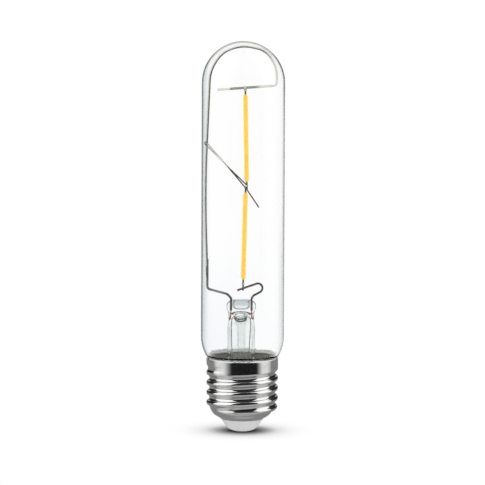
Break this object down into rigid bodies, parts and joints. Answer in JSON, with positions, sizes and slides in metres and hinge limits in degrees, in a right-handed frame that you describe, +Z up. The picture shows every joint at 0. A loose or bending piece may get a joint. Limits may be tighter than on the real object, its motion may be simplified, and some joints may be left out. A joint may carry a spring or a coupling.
{
  "type": "tubular light bulb",
  "caption": "Clear tubular filament lamp with a screw cap: upright LED filaments on bent wires over a pressed glass stem, in a glass tube with a round dome.",
  "frame": {"origin": "middle of the flat underside of the centre contact", "axes": "+Z up the lamp's axis from the contact to the dome, +X to the right of the front view, -Y towards the viewer; the blow hole of the stem faces the front"},
  "size_m": [0.0302, 0.0302, 0.1426],
  "materials": {
    "clear_glass": "clear, polished",
    "stem_glass": "clear, fire polished",
    "nickel_wire": "drawn wire, slightly dull",
    "dumet_copper": "copper clad, sealed in glass",
    "tinned_wire": "tinned",
    "yellow_silicone": "soft, satin",
    "strip_ceramic": "matte",
    "chip_crystal": "smooth",
    "tab_metal": "thin sheet",
    "plated_shell": "rolled and plated, bright",
    "cap_cement": "matte",
    "grey_insulator": "moulded, satin",
    "contact_metal": "tinned",
    "board_laminate": "woven laminate",
    "black_moulding": "moulded",
    "capacitor_can": "drawn can",
    "resistor_body": "lacquered"
  },
  "bodies": {
    "root": {"glass_envelope": "clear_glass", "glass_stem": "stem_glass", "exhaust_tube": "stem_glass", "long_support_wire": "nickel_wire", "left_lead_wire": "nickel_wire", "right_lead_wire": "nickel_wire", "left_dumet_wire": "dumet_copper", "right_dumet_wire": "dumet_copper", "left_outer_lead": "tinned_wire", "right_outer_lead": "tinned_wire", "mid_brace_wire": "nickel_wire", "upper_filament_coat": "yellow_silicone", "upper_filament_strip": "strip_ceramic", "upper_filament_chips": "chip_crystal", "upper_filament_top_tab": "tab_metal", "upper_filament_bottom_tab": "tab_metal", "lower_filament_coat": "yellow_silicone", "lower_filament_strip": "strip_ceramic", "lower_filament_chips": "chip_crystal", "lower_filament_top_tab": "tab_metal", "lower_filament_bottom_tab": "tab_metal", "screw_shell": "plated_shell", "base_cement": "cap_cement", "base_insulator": "grey_insulator", "centre_contact": "contact_metal", "driver_board": "board_laminate", "bridge_rectifier": "black_moulding", "driver_chip": "black_moulding", "smoothing_capacitor": "capacitor_can", "fusible_resistor": "resistor_body", "shell_lead": "tinned_wire"}
  },
  "joints": []
}
